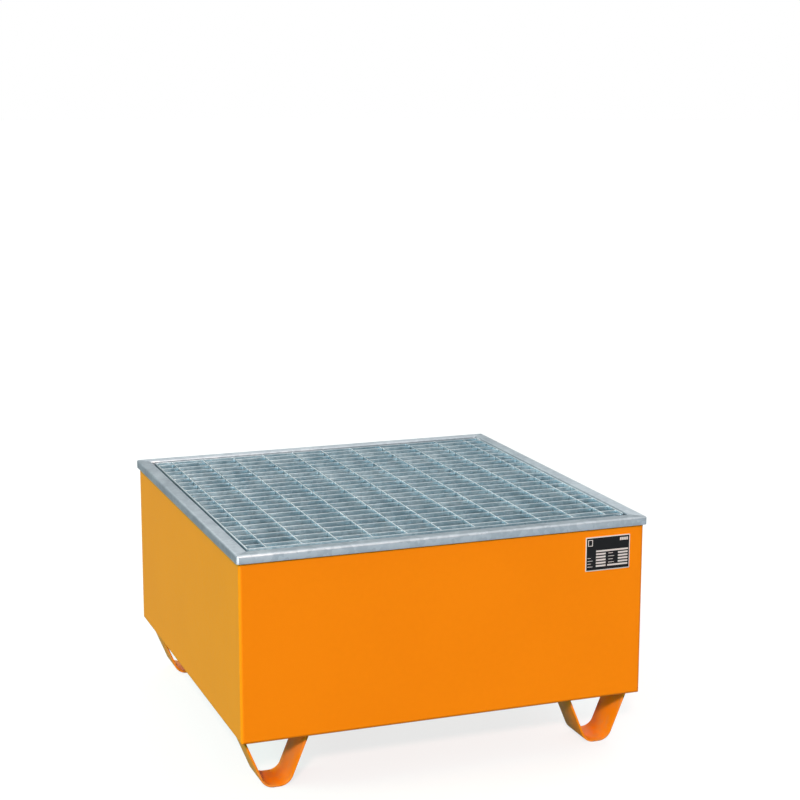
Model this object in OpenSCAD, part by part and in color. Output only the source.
// Steel spill pallet for one standing 200 litre drum: a welded sheet tray on four bent feet,
// a galvanised rim hooked over its walls, and a lift-out grating that rests in the rim.
// Millimetres. +X is right along the front face, +Y is back, +Z is up.
// The origin is on the floor under the middle of the tray.

/* [Overall] */
// Width across the rim, left to right
rim_w = 800; // [600:1:1200]
// Depth across the rim, front to back
rim_d = 800; // [600:1:1200]
// Height of the tray, from its underside to the top of the rim
tray_h = 350; // [200:1:500]

/* [Tray] */
// Thickness of the tray's sheet
sheet_t = 3; // [2:0.5:4]
// Outside radius of the tray's folded edges and corner seams
edge_r = 6; // [5:0.5:12]

/* [Rim] */
// Thickness of the rim's sheet
rim_t = 2.5; // [2:0.5:3]
// Width of the rim's top face
rim_top_w = 26; // [20:0.5:32]
// Height of the rim's outer skirt
rim_skirt_h = 16; // [10:0.5:30]
// Outside radius of the rim's outer top edge
rim_outer_r = 5; // [4:0.5:8]
// Outside radius of the rim's inner top edge
rim_inner_r = 3.5; // [3.5:0.5:6]
// Radius of the rim's ground corners, seen from above
rim_corner_r = 6; // [1:0.5:8]
// Clearance between the tray's walls and the rim's skirt
rim_clearance = 2.5; // [0.5:0.5:4]
// Gap at the rim's mitres, which the weld fills
mitre_gap = 0.6; // [0.4:0.1:1.5]
// How deep the mitre weld lies below the rim's top face
mitre_sink = 0.8; // [0.2:0.1:1.5]

/* [Seat] */
// How far the seat bars reach in from the rim
seat_w = 32; // [28:1:45]
// Thickness of the seat bars
seat_t = 4; // [3:0.5:6]

/* [Grating] */
// How far the grating's top lies below the rim's top
grate_drop = 1; // [0:0.5:6]
// Gap between the grating and the rim, left and right
grate_side_gap = 4; // [2:0.5:10]
// Gap between the grating and the rim, front and back
grate_end_gap = 15.5; // [2:0.5:18]
// Height of the bearing bars and edge bars
bar_h = 30; // [20:1:50]
// Thickness of the bearing bars and edge bars
bar_t = 3; // [2:0.5:4]
// Height of the cross bars
cross_h = 10; // [6:0.5:14]
// Thickness of the cross bars
cross_t = 2; // [1.5:0.5:3]
// Number of bearing bars, which run left to right
bearing_count = 21; // [11:1:25]
// Number of cross bars, which run front to back
cross_count = 11; // [5:1:15]
// From the grating's front edge to the middle of the first bearing bar
bearing_margin = 25.17; // [12:0.01:40]
// From the grating's left edge to the middle of the first cross bar
cross_margin = 36.67; // [12:0.01:60]

/* [Feet] */
// Height of the feet, which is the space below the tray
foot_h = 100; // [70:1:150]
// Width of a foot where it meets the tray
foot_top_w = 130; // [100:1:180]
// Width of the flat sole that a foot stands on
foot_sole_w = 10; // [6:1:30]
// Outside radius of a foot's bends
foot_r = 28; // [15:1:30]
// Width of the flat bar that a foot is bent from
foot_bar_w = 75; // [40:1:100]
// Thickness of the flat bar that a foot is bent from
foot_t = 4; // [3:0.5:8]
// From the tray's side face to the foot
foot_side_inset = 9; // [5:1:60]
// From the tray's front or rear face to the foot
foot_end_inset = 30; // [5:1:60]
// Leg length of the fillet welds that hold the feet
foot_weld = 4; // [2:0.5:6]

/* [Rating plate] */
// Width of the rating plate
plate_w = 92; // [40:1:140]
// Height of the rating plate
plate_h = 66; // [30:1:100]
// Thickness of the rating plate
plate_t = 1; // [0.5:0.1:2]
// Corner radius of the rating plate
plate_r = 2; // [1:0.5:6]
// Bare margin of the plate around its printed film
plate_margin = 2; // [1:0.5:5]
// Thickness of the printed film
film_t = 0.3; // [0.1:0.1:0.5]
// From the tray's right face to the plate
plate_side_inset = 29; // [10:1:100]
// From the rim's top to the plate
plate_drop = 31.5; // [31.5:0.5:80]

/* [Hidden] */
$fn = 64;
// Cuts reach this far past the faces they pass through
CUT = 1;

// Levels, from the floor up
top_z = foot_h + tray_h;
pan_z = foot_h + edge_r;
wall_top_z = top_z - rim_t;
grate_top_z = top_z - grate_drop;
seat_top_z = grate_top_z - bar_h;
seat_bottom_z = seat_top_z - seat_t;

// Tray, outside
body_w = rim_w - 2 * (rim_t + rim_clearance);
body_d = rim_d - 2 * (rim_t + rim_clearance);
wall_h = wall_top_z - pan_z;

// Rim's clear opening, which the grating drops into
open_w = rim_w - 2 * rim_top_w;
open_d = rim_d - 2 * rim_top_w;

// Grating panel
grate_w = open_w - 2 * grate_side_gap;
grate_d = open_d - 2 * grate_end_gap;
bearing_len = grate_w - 2 * bar_t;
cross_len = grate_d - 2 * bar_t;
bearing_pitch = (grate_d - 2 * bearing_margin) / (bearing_count - 1);
cross_pitch = (grate_w - 2 * cross_margin) / (cross_count - 1);

// Feet: the legs lean so that they meet the bends at a tangent
foot_x = body_w / 2 - foot_side_inset - foot_top_w / 2;
foot_y = body_d / 2 - foot_end_inset - foot_bar_w / 2;
bend_x = foot_sole_w / 2;
leg_run = [foot_top_w / 2 - bend_x, foot_h - foot_r];
leg_lean = acos(foot_r / norm(leg_run)) - atan2(leg_run[1], leg_run[0]);

// Corners and sides by name: [name, x sign, y sign]
FEET = [["front_left", -1, -1], ["front_right", 1, -1], ["rear_left", -1, 1], ["rear_right", 1, 1]];
ENDS = [["front", -1], ["rear", 1]];
SIDES = [["left", -1], ["right", 1]];

// ---- outlines ----

module rounded_rect(w, d, r) {
    square([w - 2 * r, d], center = true);
    square([w, d - 2 * r], center = true);
    for (x = [-1, 1], y = [-1, 1])
        translate([x * (w / 2 - r), y * (d / 2 - r)]) circle(r);
}

// Upright rectangle with its two lower corners rounded, its base on y = 0
module tub_outline(w, h, r) {
    translate([r - w / 2, 0]) square([w - 2 * r, h]);
    translate([-w / 2, r]) square([w, h]);
    for (x = [-1, 1])
        translate([x * (w / 2 - r), r]) circle(r);
}

// Quarter of a bend in sheet, centred on the bend, lying towards +X and +Y
module bend_outline(r, t) {
    intersection() {
        difference() {
            circle(r);
            circle(r - t);
        }
        square(r);
    }
}

// Section of the rim: x runs inwards from the skirt's outer face, y up to the top face at 0
module rim_outline() {
    leg_h = top_z - seat_bottom_z;
    translate([rim_outer_r, -rim_t]) square([rim_top_w - rim_outer_r - rim_inner_r, rim_t]);
    translate([0, -rim_skirt_h]) square([rim_t, rim_skirt_h - rim_outer_r]);
    translate([rim_top_w - rim_t, -leg_h]) square([rim_t, leg_h - rim_inner_r]);
    translate([rim_outer_r, -rim_outer_r]) mirror([1, 0]) bend_outline(rim_outer_r, rim_t);
    translate([rim_top_w - rim_inner_r, -rim_inner_r]) bend_outline(rim_inner_r, rim_t);
}

// Space enclosed by a foot's faces, after moving them in by the given amount
module foot_outline(inset) {
    r = foot_r - inset;
    tangent = [bend_x + r * cos(leg_lean), foot_r - r * sin(leg_lean)];
    // Half width of the leg's face at the tray's underside
    half_top = foot_top_w / 2 - inset / cos(leg_lean);
    polygon([
        [-half_top, foot_h], [-tangent[0], tangent[1]], [-bend_x, foot_r],
        [bend_x, foot_r], [tangent[0], tangent[1]], [half_top, foot_h]
    ]);
    translate([-bend_x, inset]) square([2 * bend_x, r]);
    for (x = [-1, 1])
        translate([x * bend_x, foot_r]) circle(r);
}

// ---- tray ----

// Block with its upright edges and its lower edges rounded, its base on z = 0
module tub_block(w, d, h, r) {
    intersection() {
        linear_extrude(h) rounded_rect(w, d, r);
        rotate([90, 0, 0]) linear_extrude(d, center = true) tub_outline(w, h, r);
        rotate([90, 0, 90]) linear_extrude(w, center = true) tub_outline(d, h, r);
    }
}

// Bottom of the tray with its folded-up edges
module floor_pan() {
    color("darkorange")
    translate([0, 0, foot_h])
    difference() {
        tub_block(body_w, body_d, edge_r, edge_r);
        translate([0, 0, sheet_t])
            tub_block(body_w - 2 * sheet_t, body_d - 2 * sheet_t, edge_r, edge_r - sheet_t);
    }
}

module end_wall(side) {
    color("darkorange")
    translate([0, side * (body_d - sheet_t) / 2, pan_z + wall_h / 2])
        cube([body_w - 2 * edge_r, sheet_t, wall_h], center = true);
}

module side_wall(side) {
    color("darkorange")
    translate([side * (body_w - sheet_t) / 2, 0, pan_z + wall_h / 2])
        cube([sheet_t, body_d - 2 * edge_r, wall_h], center = true);
}

// Upright seams, welded and ground round
module corner_seams() {
    color("orange")
    for (x = [0, 1], y = [0, 1])
        mirror([x, 0, 0]) mirror([0, y, 0])
            translate([body_w / 2 - edge_r, body_d / 2 - edge_r, pan_z])
                linear_extrude(wall_h) bend_outline(edge_r, sheet_t);
}

// ---- rim ----

// One side of the rim along X at the front, for a rim of the given length and depth
module rim_side(length, depth) {
    half = length / 2;
    back = depth / 2;
    slack = mitre_gap / sqrt(2);
    color("lightsteelblue")
    intersection() {
        translate([-half, -back, top_z])
            rotate([90, 0, 90]) linear_extrude(length) rim_outline();
        linear_extrude(top_z + CUT)
            intersection() {
                rounded_rect(length, depth, rim_corner_r);
                polygon([
                    [slack - half, -back], [half - slack, -back],
                    [half - slack - rim_top_w, rim_top_w - back],
                    [slack + rim_top_w - half, rim_top_w - back]
                ]);
            }
    }
}

module rim_end(side) {
    mirror([0, side > 0 ? 1 : 0, 0]) rim_side(rim_w, rim_d);
}

module rim_flank(side) {
    mirror([side > 0 ? 1 : 0, 0, 0]) rotate([0, 0, -90]) rim_side(rim_d, rim_w);
}

// Weld metal in the four mitres, just below the top face
module rim_welds() {
    weld_len = sqrt(2) * (rim_top_w - rim_outer_r - rim_inner_r);
    weld_mid = (rim_top_w + rim_outer_r - rim_inner_r) / 2;
    color("silver")
    for (x = [0, 1], y = [0, 1])
        mirror([x, 0, 0]) mirror([0, y, 0])
            translate([rim_w / 2 - weld_mid, rim_d / 2 - weld_mid, top_z - rim_t])
                rotate([0, 0, 45])
                    translate([-weld_len / 2, -mitre_gap / 2, 0])
                        cube([weld_len, mitre_gap, rim_t - mitre_sink]);
}

module seat_end(side) {
    color("lightsteelblue")
    translate([0, side * (open_d - seat_w) / 2, seat_top_z - seat_t / 2])
        cube([open_w - 2 * seat_w, seat_w, seat_t], center = true);
}

module seat_side(side) {
    color("lightsteelblue")
    translate([side * (open_w - seat_w) / 2, 0, seat_top_z - seat_t / 2])
        cube([seat_w, open_d, seat_t], center = true);
}

// ---- grating ----

module cross_bar(i) {
    color("gainsboro")
    translate([(i - (cross_count - 1) / 2) * cross_pitch, 0, grate_top_z - cross_h / 2])
        cube([cross_t, cross_len, cross_h], center = true);
}

// Bearing bar, notched along its top for the cross bars
module bearing_bar(i) {
    color("silver")
    difference() {
        translate([0, (i - (bearing_count - 1) / 2) * bearing_pitch, grate_top_z - bar_h / 2])
            cube([bearing_len, bar_t, bar_h], center = true);
        for (k = [0:cross_count - 1])
            translate([(k - (cross_count - 1) / 2) * cross_pitch, 0, grate_top_z])
                cube([cross_t, grate_d, 2 * cross_h], center = true);
    }
}

module grate_edge_end(side) {
    color("silver")
    translate([0, side * (grate_d - bar_t) / 2, grate_top_z - bar_h / 2])
        cube([bearing_len, bar_t, bar_h], center = true);
}

module grate_edge_side(side) {
    color("silver")
    translate([side * (grate_w - bar_t) / 2, 0, grate_top_z - bar_h / 2])
        cube([bar_t, grate_d, bar_h], center = true);
}

// ---- feet ----

module foot(x, y) {
    color("orange")
    translate([x * foot_x, y * foot_y, 0])
        rotate([90, 0, 0])
            linear_extrude(foot_bar_w, center = true)
                difference() {
                    foot_outline(0);
                    foot_outline(foot_t);
                }
}

// Fillet welds along the outer faces of the feet's legs
module foot_welds() {
    half = foot_top_w / 2;
    color("darkorange")
    for (foot = FEET, leg = [0, 1])
        translate([foot[1] * foot_x, foot[2] * foot_y, 0])
            mirror([leg, 0, 0])
                rotate([90, 0, 0])
                    linear_extrude(foot_bar_w, center = true)
                        polygon([
                            [half, foot_h], [half + foot_weld, foot_h],
                            [half - foot_weld * tan(leg_lean), foot_h - foot_weld]
                        ]);
}

// ---- rating plate ----

// Moves and turns its children from the XY plane onto the front wall, facing forwards
module on_front_wall() {
    translate([
        body_w / 2 - plate_side_inset - plate_w / 2,
        -body_d / 2,
        top_z - plate_drop - plate_h / 2
    ])
        rotate([90, 0, 0]) children();
}

module rating_plate() {
    color("silver")
    on_front_wall() linear_extrude(plate_t) rounded_rect(plate_w, plate_h, plate_r);
}

module plate_film() {
    color("black")
    on_front_wall()
        translate([0, 0, plate_t])
            linear_extrude(film_t)
                square([plate_w - 2 * plate_margin, plate_h - 2 * plate_margin], center = true);
}

// ---- nodes ----

floor_pan();
corner_seams();
rim_welds();
foot_welds();
rating_plate();
plate_film();
for (end = ENDS) {
    end_wall(end[1]);
    rim_end(end[1]);
    seat_end(end[1]);
    grate_edge_end(end[1]);
}
for (side = SIDES) {
    side_wall(side[1]);
    rim_flank(side[1]);
    seat_side(side[1]);
    grate_edge_side(side[1]);
}
for (f = FEET)
    foot(f[1], f[2]);
for (i = [1:bearing_count])
    bearing_bar(i - 1);
for (i = [1:cross_count])
    cross_bar(i - 1);
